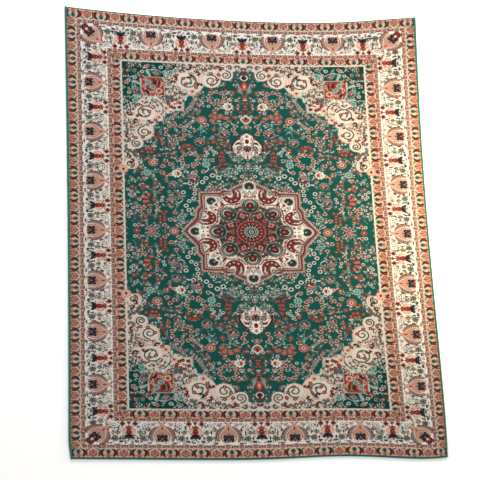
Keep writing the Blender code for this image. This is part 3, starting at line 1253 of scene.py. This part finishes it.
def green_corner(pen):
    """The dark corner of the field, with flowers to both sides of the red square."""
    teeth(pen, GREEN_CORNER[1:-2][::-1], 16, 8, "mint")
    pen.polygon(GREEN_CORNER, "bottle")
    for way in (-1, 1):
        half = pen.at(512, 1016, -45, flip=way)
        half.stroke([(24, 84), (66, 92), (100, 62), (106, 20), (84, -4)], 5, "mint", "both")
        half.stroke([(30, 76), (60, 78), (78, 56)], 4, "teal", "both")
        dark_flower(half.at(86, 48, 40, 0.72))
        star_flower(half.at(142, 0, size=0.8), "mint", "pine", "slate")
        for u, v in ((30, 112), (70, 122), (128, 62), (120, -34)):
            half.bloom(u, v, 13, 7, "silver", 0.4)
            half.bloom(u, v, 7, 5, "garnet", 0.3)
        garland(half, [(100, -6), (116, 10), (128, 34)], 12, ("silver", "grey", "blush"))
        garland(half, [(40, 60), (50, 88), (58, 104)], 10, ("silver", "mint", "blush"))
    for x, y, dye in (
        (596, 1162, "garnet"), (662, 1104, "garnet"), (648, 1156, "brick"), (613, 1120, "fawn"),
        (648, 1124, "fawn"), (662, 1043, "rose"), (538, 1160, "rose"), (412, 1158, "rose"),
    ):
        pen.bloom(x, y, 12, 6, dye, 0.24)
        pen.disc(x, y, 4.5, "umber")
    pen.stroke([(600, 1134), (632, 1134), (630, 1100)], 6, "teal", "both")
    tendrils(pen.chart, "corner", (370, 668, 870, 1168))


def red_square(pen):
    teeth(pen, RED_SQUARE + RED_SQUARE[:1], 12, 15, "mint", 0.0)
    rim = [(512 + 1.07 * (u - 512), 1016 + 1.07 * (v - 1016)) for u, v in RED_SQUARE]
    pen.polygon(rim, "mint")
    pen.polygon(RED_SQUARE, "scarlet")
    star_flower(pen.at(538, 1044, size=0.8), "mint", "slate", "umber")
    star_flower(pen.at(513, 1012, size=0.72), "mint", "pine", "slate")
    peony(pen.at(479, 986, size=0.72), "bone", "garnet", "teal", "rose")
    comb(pen, [(470, 1054), (488, 1048), (508, 1040)], 34, ("fawn", "umber"))
    comb(pen, [(534, 1004), (540, 986), (548, 970)], 30, ("fawn", "umber"))
    comb(pen, [(468, 1020), (484, 1018)], 18, ("bone", "garnet"))
    pen.leaf([(470, 1048), (482, 1032)], 13, "umber")
    for x, y in ((500, 984), (458, 1034), (556, 1066), (560, 1016), (520, 974)):
        pen.bloom(x, y, 11, 7, "bone", 0.4)
        pen.bloom(x, y, 6, 5, "umber", 0.3)
    tendrils(pen.chart, "square", (440, 580, 940, 1080))
    pen.at(576, 1080, -45).leaf([(0, -18), (0, 22)], 22, "rust")
    pen.at(590, 1092, -45).oval(0, 0, 9, 13, "fawn")


def spandrel(pen):
    """The field's corner: scrolls on a pale ground, a green corner and a red square."""
    teeth(pen, SPANDREL_RIM, 15, 9, "mint")
    pen.stroke(SPANDREL_RIM, 8, "bone")
    pen.polygon(SPANDREL_RIM + [(700, 1200), (-16, 1200)], "shell")
    for x, y, radius, turn, hand in SCROLLS:
        scroll(pen.at(x, y, turn, 1.0, hand), radius)
    for x, y in ((100, 1111), (612, 606), (642, 458)):
        pen.leaf([(x - 10, y + 6), (x - 4, y - 8), (x + 9, y - 6)], 8, "coral")
    for width, dye, points in SPANDREL_LEAVES:
        pen.leaf(points, width, dye)
    for x, y in ((292, 987), (484, 798), (442, 864)):
        pen.disc(x, y, 18, "peach")
        pen.bloom(x, y, 12, 9, "salmon", 0.3)
        pen.disc(x, y, 6, "plum")
    for flower, dye, places in SPANDREL_FLOWERS:
        for k, (x, y) in enumerate(places):
            flower(pen.at(x, y, 70 * k, 0.95 if flower is blossom else 0.9), dye)
    # the pale star on the diagonal
    pen.stroke([(332, 944), (346, 918), (350, 858), (398, 850)], 5, "mint")
    for x, y in ((386, 926), (408, 918), (364, 904), (428, 896), (397, 868), (414, 876), (432, 914)):
        blossom(pen.at(x, y, 20, 0.95), "garnet", "maroon", "rose")
    pen.at(368, 873, 8).polygon([(-10, -10), (10, -10), (10, 10), (-10, 10)], "maroon")
    palmette(pen.at(424, 940, 200, 1.3), "slate", "moss")
    tendrils(pen.chart, "spandrel", (0, 684, 440, 1184))
    green_corner(pen)
    red_square(pen)


def guard_flower(pen):
    """The half flower that laps over the inner guard beside the spandrel's end."""
    pen.bloom(688, 428, 29, 13, "salmon", 0.16)
    pen.disc(688, 428, 19, "peach")
    pen.oval(688, 428, 7, 10, "maroon")


# ---------------------------------------------------------------- the chart


def quarter(columns, rows, half_x, half_y):
    """The design's quarter: ground first, then what lies over it."""
    chart = Chart(columns, rows, half_x, half_y)
    pen = Pen(chart)
    axis_flowers(pen)
    field(pen)
    medallion(pen)
    pendant(pen)
    spandrel(pen)
    guard_grounds(chart)
    for guard in GUARD_STRIPES:
        guard_stripe(chart, *guard)
    middle_grounds(chart)
    for beads in BEAD_STRIPES:
        bead_stripe(chart, *beads)
    guard_flower(pen)
    main_border(chart)
    return chart.dye


# ---------------------------------------------------------------- meshes


def bell(distance, spread):
    return np.exp(-((distance / spread) ** 2))


def fade(distance):
    return np.exp(-distance / EDGE_REACH)


def moved(x, y):
    """Where points of the woven rectangle really lie, before the box is centred."""
    across = x / HALF_WIDTH
    bowed = 1 - (y / HALF_LENGTH) ** 2
    far = FAR_SLACK + FAR_BOW * across**2 - FAR_TILT * across
    near = NEAR_HOLLOW * bell(across - NEAR_HOLLOW_AT, NEAR_HOLLOW_SPREAD)
    pull = CORNER_PULL * bell(np.hypot(x - HALF_WIDTH, y - HALF_LENGTH), CORNER_REACH)
    tuck = TUCK * bell(np.hypot(x + HALF_WIDTH, y + HALF_LENGTH), TUCK_REACH)
    drawn_in = np.exp((x - HALF_WIDTH) / NEAR_CORNER_ACROSS - (y + HALF_LENGTH) / NEAR_CORNER_ALONG)
    dx = bowed * (LEFT_HOLLOW * fade(HALF_WIDTH + x) - RIGHT_HOLLOW * fade(HALF_WIDTH - x)) + tuck
    dy = far * fade(HALF_LENGTH - y) + near * fade(HALF_LENGTH + y) + pull
    return x + dx - NEAR_CORNER_IN * drawn_in, y + dy + NEAR_CORNER_UP * drawn_in


def box_middle():
    """The middle of the drifted outline's box."""
    t = np.linspace(-1, 1, 401)
    one = np.ones_like(t)
    x = np.concatenate([t, t, -one, one]) * HALF_WIDTH
    y = np.concatenate([-one, one, t, t]) * HALF_LENGTH
    px, py = moved(x, y)
    return (px.min() + px.max()) / 2, (py.min() + py.max()) / 2


MIDDLE = box_middle()


def lay(x, y, z):
    """Where points of the woven rectangle lie on the floor, as an array of points."""
    px, py = moved(x, y)
    return np.stack([px - MIDDLE[0], py - MIDDLE[1], z], -1)


def piece_from(name, points, faces, materials, finishes, uvs, colours=None):
    """A mesh object riding on the part; faces and finishes are lists with an entry for each group."""
    mesh = bpy.data.meshes.new(name)
    loops = np.concatenate([group.ravel() for group in faces])
    sizes = np.concatenate([np.full(len(group), group.shape[1]) for group in faces])
    starts = np.concatenate([[0], np.cumsum(sizes)[:-1]])
    finish = np.concatenate([np.full(len(group), k) for group, k in zip(faces, finishes)])
    mesh.vertices.add(len(points))
    mesh.vertices.foreach_set("co", points.astype(np.float32).ravel())
    mesh.loops.add(len(loops))
    mesh.loops.foreach_set("vertex_index", loops.astype(np.int32))
    mesh.polygons.add(len(sizes))
    mesh.polygons.foreach_set("loop_start", starts.astype(np.int32))
    mesh.polygons.foreach_set("material_index", finish.astype(np.int32))
    mesh.update(calc_edges=True)
    layer = mesh.uv_layers.new(name="OFBake")
    layer.data.foreach_set("uv", np.concatenate(uvs).astype(np.float32).ravel())
    if colours is not None:
        attribute = mesh.color_attributes.new("dye", "FLOAT_COLOR", "CORNER")
        attribute.data.foreach_set("color", colours.astype(np.float32).ravel())
    mesh.shade_smooth()
    mesh.set_sharp_from_angle(angle=math.radians(SHARP_ANGLE))
    for material in materials:
        mesh.materials.append(material)
    piece = bpy.data.objects.new(name, mesh)
    bpy.context.scene.collection.objects.link(piece)
    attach(piece, "root")
    return piece


def stations(count):
    """Places from -1 to 1."""
    return np.linspace(-1, 1, count + 1)


def quads(rows):
    """The four-sided faces between neighbouring rows of point numbers."""
    corners = (rows[:-1, :-1], rows[:-1, 1:], rows[1:, 1:], rows[1:, :-1])
    return np.stack(corners, -1).reshape(-1, 4)


def four_corners(cells):
    """The colours of each face's corners, from a grid with two cells per face each way."""
    corners = (cells[0::2, 0::2], cells[0::2, 1::2], cells[1::2, 1::2], cells[1::2, 0::2])
    return np.stack(corners, 2).reshape(-1, cells.shape[-1])


def wall(upper, lower, step):
    """Faces from the top's rim down to the back's, one for each face of the back."""
    spans = [upper[k : k + step + 1] for k in range(0, len(upper) - 1, step)]
    return np.column_stack([np.array(spans)[:, ::-1], lower[:-1], lower[1:]])


def wave(p, q, height, rate, sway, sway_rate):
    """A slow wave over p whose crests sway along q."""
    return height * np.sin(rate * p + sway * np.sin(sway_rate * q))


def nap(x, y):
    """How unevenly the pile stands, in metres: slow waves and a grain of its own in each tuft."""
    grain = np.random.default_rng(NAP_SEED).uniform(-NAP_GRAIN, NAP_GRAIN, x.shape)
    return (wave(x, y, *NAP_ALONG) + wave(y, x, *NAP_ACROSS) + grain) * MM


def stacked(u, v, parts, top, margin):
    """Map a long strip, 0 to 1 across and 0 to parts along, as parts columns side by side."""
    part = np.minimum(np.floor(v.mean(-1, keepdims=True)), parts - 1)
    width = (1 - margin) / parts
    return np.stack([margin + part * width + u * (width - margin), margin + (v - part) * top], -1)


def slab_faces(up, down, column_step, row_step):
    """The top, the back and the four walls between them, from the numbers of their points."""
    return [
        quads(up),
        quads(down)[:, ::-1],
        wall(up[0], down[0], column_step),
        wall(up[-1, ::-1], down[-1, ::-1], column_step),
        wall(up[:, -1], down[:, -1], row_step),
        wall(up[::-1, 0], down[::-1, 0], row_step),
    ]


def slab_uvs(faces, across, along):
    """The baking map: the top as columns side by side, and the rest in a band above them."""
    uvs = [stacked(across[faces[0]], along[faces[0]] * TOP_PARTS, TOP_PARTS, TOP_SHARE, UV_MARGIN)]
    low = 1 - BACK_SHARE
    for group in faces[1:]:
        v = low + across[group] * (BACK_SHARE - UV_MARGIN)
        uvs.append(np.stack([UV_MARGIN + along[group] * (1 - 2 * UV_MARGIN), v], -1))
    return [uv.reshape(-1, 2) for uv in uvs]


def pile_strip(index, whole, materials):
    """One lengthwise strip of the pile: a closed slab whose top carries the chart."""
    first, last = index * STRIP_COLUMNS, (index + 1) * STRIP_COLUMNS + 1
    x_all = stations(STRIPS * STRIP_COLUMNS) * PILE_HALF_WIDTH
    y = stations(PILE_ROWS) * PILE_HALF_LENGTH
    X, Y = (grid[:, first:last] for grid in np.meshgrid(x_all, y))
    height = PILE_THICKNESS + nap(*np.meshgrid(x_all, y))[:, first:last]
    height[(abs(X) > PILE_HALF_WIDTH - MM) | (abs(Y) > PILE_HALF_LENGTH - MM)] -= RIM_DROP
    column_step, row_step = STRIP_COLUMNS // BACK_COLUMNS, PILE_ROWS // BACK_ROWS
    back_X, back_Y = X[::row_step, ::column_step], Y[::row_step, ::column_step]
    points = np.concatenate([
        lay(X, Y, height).reshape(-1, 3),
        lay(back_X, back_Y, np.zeros_like(back_X)).reshape(-1, 3),
    ])
    up = np.arange(X.size).reshape(X.shape)
    down = X.size + np.arange(back_X.size).reshape(back_X.shape)
    faces = slab_faces(up, down, column_step, row_step)
    across = np.concatenate([(X - X[0, 0]).ravel(), (back_X - X[0, 0]).ravel()]) / (X[0, -1] - X[0, 0])
    along = np.concatenate([Y.ravel(), back_Y.ravel()]) / (2 * PILE_HALF_LENGTH) + 0.5
    cells = whole[:, 2 * first : 2 * (last - 1)]
    rest = sum(group.size for group in faces[1:])
    colours = np.concatenate([four_corners(cells), np.tile(DYE["edge"], (rest, 1))])
    colours = np.concatenate([colours, np.ones((len(colours), 1))], 1)
    piece = piece_from(
        f"pile_strip_{index + 1}",
        points,
        faces,
        materials,
        [0, 1, 0, 0, 0, 0],
        slab_uvs(faces, across, along),
        colours,
    )
    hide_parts("pile_carpet")
    return piece


def roll_uvs(rings):
    """The baking map of a roll: its side as columns, and its two small ends in the margin."""
    u, v = np.meshgrid(stations(THREAD_SIDES) / 2 + 0.5, (stations(rings) / 2 + 0.5) * ROLL_PARTS)
    order = quads(np.arange(u.size).reshape(u.shape))
    side = stacked(u.ravel()[order], v.ravel()[order], ROLL_PARTS, 1 - 2 * UV_MARGIN, UV_MARGIN)
    return [side] + [np.full((1, THREAD_SIDES, 2), UV_MARGIN / 2)] * 2


def overcast_roll(name, half, width, height, place, material):
    """A roll of thread turns along an edge, standing for the solid of its name.

    place(along, inward) gives the woven point at a distance along the edge and in from it.
    """
    rings = 2 * round(2 * half / THREAD_PITCH)
    angle = 2 * math.pi * (np.arange(THREAD_SIDES) + 0.5) / THREAD_SIDES - math.pi / 2
    along = stations(rings)[:, None] * half
    slant = THREAD_SLANT * np.sin(angle) * np.clip((half - abs(along)) / THREAD_PITCH, 0, 1)
    crest = np.where(np.arange(rings + 1) % 2, THREAD_RELIEF, -THREAD_RELIEF)[:, None]
    crest = crest * np.random.default_rng(THREAD_SEED).uniform(0.6, 1.2, (rings + 1, 1))
    inward = width / 2 * (1 + np.cos(angle)) + crest * np.cos(angle)
    upward = height / 2 * (1 - np.sin(angle) / np.sin(angle[0])) + crest * np.sin(angle)
    x, y = place(along + slant, inward)
    points = lay(x, y, np.maximum(upward, 0)).reshape(-1, 3)
    rows = np.arange(len(points)).reshape(rings + 1, THREAD_SIDES)
    sides = quads(np.concatenate([rows, rows[:, :1]], 1))
    faces = [sides, rows[:1, ::-1], rows[-1:]]
    uvs = roll_uvs(rings)
    here, beside, ahead = points[sides[0, 0]], points[sides[0, 1]], points[sides[0, 3]]
    if np.cross(beside - here, ahead - here)[2] > 0:
        faces = [group[:, ::-1] for group in faces]
        uvs = [group[:, ::-1] for group in uvs]
    piece = piece_from(
        f"{name}_threads", points, faces, [material], [0, 0, 0], [uv.reshape(-1, 2) for uv in uvs]
    )
    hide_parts(name)
    return piece


def edges(material):
    """The overcast side edges and the end bindings between them."""
    made = []
    for name, side in (("side_edge_left", -1), ("side_edge_right", 1)):

        def beside(along, inward, side=side):
            return side * (HALF_WIDTH - inward), along

        roll = overcast_roll(name, HALF_LENGTH, SIDE_EDGE_WIDTH, SIDE_EDGE_HEIGHT, beside, material)
        made.append(roll)
    for name, end in (("end_binding_near", -1), ("end_binding_far", 1)):

        def beyond(along, inward, end=end):
            return along, end * (HALF_LENGTH - inward)

        roll = overcast_roll(
            name, PILE_HALF_WIDTH, END_BINDING_WIDTH, END_BINDING_HEIGHT, beyond, material
        )
        made.append(roll)
    return made


# ---------------------------------------------------------------- materials


class Nodes:
    """A new material's node tree, with short ways to add to it."""

    def __init__(self, name):
        self.material = bpy.data.materials.new(name)
        self.material.use_nodes = True
        self.tree = self.material.node_tree
        self.shader = self.tree.nodes["Principled BSDF"]

    def add(self, kind, inputs=(), **settings):
        """A node; inputs are (socket, value or output) pairs."""
        node = self.tree.nodes.new(kind)
        for name, value in settings.items():
            setattr(node, name, value)
        for socket, value in inputs:
            self.feed(node.inputs[socket], value)
        return node

    def feed(self, socket, value):
        if isinstance(value, bpy.types.NodeSocket):
            self.tree.links.new(value, socket)
        else:
            socket.default_value = value

    def math(self, operation, *values):
        node = self.add("ShaderNodeMath", enumerate(values), operation=operation)
        return node.outputs[0]

    def noise(self, scale, detail=2.0, stretch=(1, 1, 1)):
        """Noise over the part's own metres, stretched along its axes."""
        place = self.add("ShaderNodeTexCoord").outputs["Object"]
        mapping = self.add("ShaderNodeMapping", [("Vector", place), ("Scale", stretch)])
        inputs = [("Vector", mapping.outputs[0]), ("Scale", scale), ("Detail", detail)]
        return self.add("ShaderNodeTexNoise", inputs).outputs["Fac"]

    def ribs(self, axis, pitch):
        """Rounded ribs across an axis, 0 between them and 1 on top."""
        place = self.add("ShaderNodeTexCoord").outputs["Object"]
        apart = self.add("ShaderNodeSeparateXYZ", [(0, place)]).outputs[axis]
        return self.math("ABSOLUTE", self.math("SINE", self.math("MULTIPLY", apart, math.pi / pitch)))

    def spread(self, value, low, high):
        """A value from 0 to 1 spread over low to high."""
        inputs = [("Value", value), ("To Min", low), ("To Max", high)]
        return self.add("ShaderNodeMapRange", inputs).outputs[0]

    def tinted(self, colour, brightness):
        """A colour made darker or lighter."""
        grey = self.add("ShaderNodeCombineColor", [(k, brightness) for k in range(3)]).outputs[0]
        mixed = [(0, 1.0), (6, colour), (7, grey)]
        return self.add("ShaderNodeMix", mixed, data_type="RGBA", blend_type="MULTIPLY").outputs[2]

    def finish(self, colour, roughness, height, depth, sheen):
        """Feed the shader: colour, roughness, and a bump of a depth in metres; sheen is a number."""
        bump = self.add("ShaderNodeBump", [("Height", height), ("Distance", depth)])
        self.feed(self.shader.inputs["Base Color"], colour)
        self.feed(self.shader.inputs["Roughness"], roughness)
        self.feed(self.shader.inputs["Normal"], bump.outputs[0])
        self.shader.inputs["Sheen Weight"].default_value = sheen
        self.shader.inputs["Sheen Roughness"].default_value = SHEEN_ROUGHNESS
        self.shader.inputs["Specular IOR Level"].default_value = SPECULAR
        return self.material


def pile_wool():
    """Sheared wool in rows of knots: the chart's dyes, uneven from tuft to tuft and band to band, with
    shade painted into the gaps between the knots.
    """
    n = Nodes("pile_wool")
    dye = n.add("ShaderNodeVertexColor", layer_name="dye").outputs["Color"]
    knots = n.math("MULTIPLY", n.ribs("X", KNOT_PITCH), n.ribs("Y", KNOT_PITCH))
    fibres = n.noise(900.0, detail=3.0)
    bands = n.noise(1.0, stretch=(0.6, 9.0, 1.0))
    shade = n.math("MULTIPLY", n.spread(fibres, *FIBRE_SHADES), n.spread(bands, *BAND_SHADES))
    # painted shade: the dye is darkened in the gaps between the knots' tops, and a little on the tops
    # too
    shade = n.math("MULTIPLY", shade, n.spread(knots, *KNOT_PAINTED_SHADE))
    height = n.math("ADD", knots, n.math("MULTIPLY", fibres, 0.8))
    return n.finish(n.tinted(dye, shade), n.spread(fibres, 0.86, 1.0), height, depth=0.0005, sheen=0.004)


def foundation():
    """The back: cotton wefts over warps, with the knots' colours showing faintly through and shade
    painted into the grooves between the threads.
    """
    n = Nodes("cotton_foundation")
    wefts = n.math("MULTIPLY", n.ribs("Y", BACK_PITCH), n.spread(n.ribs("X", BACK_PITCH), 0.6, 1.0))
    blots = n.noise(14.0, detail=4.0)
    ramp = n.add("ShaderNodeValToRGB", [(0, blots)])
    ramp.color_ramp.elements[0].color = (*DYE["fawn"], 1)
    ramp.color_ramp.elements[1].color = (*DYE["bone"], 1)
    # painted shade: the colour is darkened in the grooves between the wefts and warps
    colour = n.tinted(ramp.outputs[0], n.spread(wefts, 0.7, 1.05))
    return n.finish(colour, n.spread(blots, 0.8, 0.95), wefts, depth=0.0005, sheen=0.05)


def edge_thread():
    """The green wool wound round the edges."""
    n = Nodes("edge_thread")
    fibres = n.noise(700.0, detail=3.0)
    patches = n.noise(5.0)
    ramp = n.add("ShaderNodeValToRGB", [(0, patches)])
    ramp.color_ramp.elements[0].color = (*DYE["lawn"], 1)
    ramp.color_ramp.elements[1].color = (*DYE["edge"], 1)
    colour = n.tinted(ramp.outputs[0], n.spread(fibres, 0.7, 1.25))
    return n.finish(colour, n.spread(fibres, 0.7, 0.9), fibres, depth=0.0004, sheen=0.1)


def floor_paint():
    n = Nodes("floor_paint")
    grain = n.noise(3.0, detail=4.0)
    colour = n.tinted((*FLOOR_COLOUR, 1.0), n.spread(grain, 0.995, 1.0))
    return n.finish(colour, n.spread(grain, 0.85, 0.95), grain, depth=0.0001, sheen=0.0)


# ---------------------------------------------------------------- floor, light and camera


def add_floor():
    mesh = bpy.data.meshes.new("floor")
    half = FLOOR_SIZE / 2
    corners = [(-half, -half), (half, -half), (half, half), (-half, half)]
    mesh.from_pydata([(x, y, -FLOOR_DROP) for x, y in corners], [], [(0, 1, 2, 3)])
    mesh.materials.append(floor_paint())
    floor = bpy.data.objects.new("floor", mesh)
    bpy.context.scene.collection.objects.link(floor)


def look(obj, place, target, roll=0.0):
    """Set an object at a place so that its -Z points at the target."""
    back = (Vector(place) - Vector(target)).normalized()
    across = Vector((0, 0, 1)).cross(back).normalized()
    up = back.cross(across)
    c, s = math.cos(math.radians(roll)), math.sin(math.radians(roll))
    rows = (c * across + s * up, c * up - s * across, back)
    obj.matrix_world = Matrix.Translation(place) @ Matrix(rows).transposed().to_4x4()


def add_light(name, place, target, width, length, power, colour):
    light = bpy.data.lights.new(name, "AREA")
    light.shape = "RECTANGLE"
    light.size, light.size_y = length, width
    light.energy = power
    light.color = colour
    obj = bpy.data.objects.new(name, light)
    bpy.context.scene.collection.objects.link(obj)
    look(obj, place, target)


def add_world():
    world = bpy.data.worlds.new("studio")
    world.use_nodes = True
    shade = world.node_tree.nodes["Background"]
    shade.inputs["Color"].default_value = (*WORLD_COLOUR, 1)
    shade.inputs["Strength"].default_value = WORLD_STRENGTH
    bpy.context.scene.world = world
    bpy.context.scene.view_settings.view_transform = "Standard"


def add_camera():
    """A long lens, looking down on the carpet from beyond its near end."""
    azimuth, elevation = math.radians(VIEW_AZIMUTH), math.radians(VIEW_ELEVATION)
    away = Vector((
        -math.sin(azimuth) * math.cos(elevation),
        -math.cos(azimuth) * math.cos(elevation),
        math.sin(elevation),
    ))
    target = Vector((VIEW_TARGET[0] - MIDDLE[0], VIEW_TARGET[1] - MIDDLE[1], 0))
    data = bpy.data.cameras.new("camera")
    data.lens = VIEW_LENS
    data.sensor_width = 36
    data.clip_end = 60
    camera = bpy.data.objects.new("camera", data)
    bpy.context.scene.collection.objects.link(camera)
    look(camera, target + away * VIEW_DISTANCE, target, VIEW_ROLL)
    bpy.context.scene.camera = camera


# ---------------------------------------------------------------- the whole


def main():
    quarter_dye = quarter(
        STRIPS * STRIP_COLUMNS, PILE_ROWS, PILE_HALF_WIDTH / MM, PILE_HALF_LENGTH / MM
    )
    half = np.concatenate([quarter_dye[:, ::-1], quarter_dye], 1)
    whole = np.concatenate([half[::-1], half], 0)
    materials = [pile_wool(), foundation()]
    threads = edges(edge_thread())
    for index in range(STRIPS):
        strip = pile_strip(index, whole, materials)
    add_floor()
    for name, settings in LIGHTS.items():
        add_light(name, *settings)
    add_world()
    add_camera()


main()
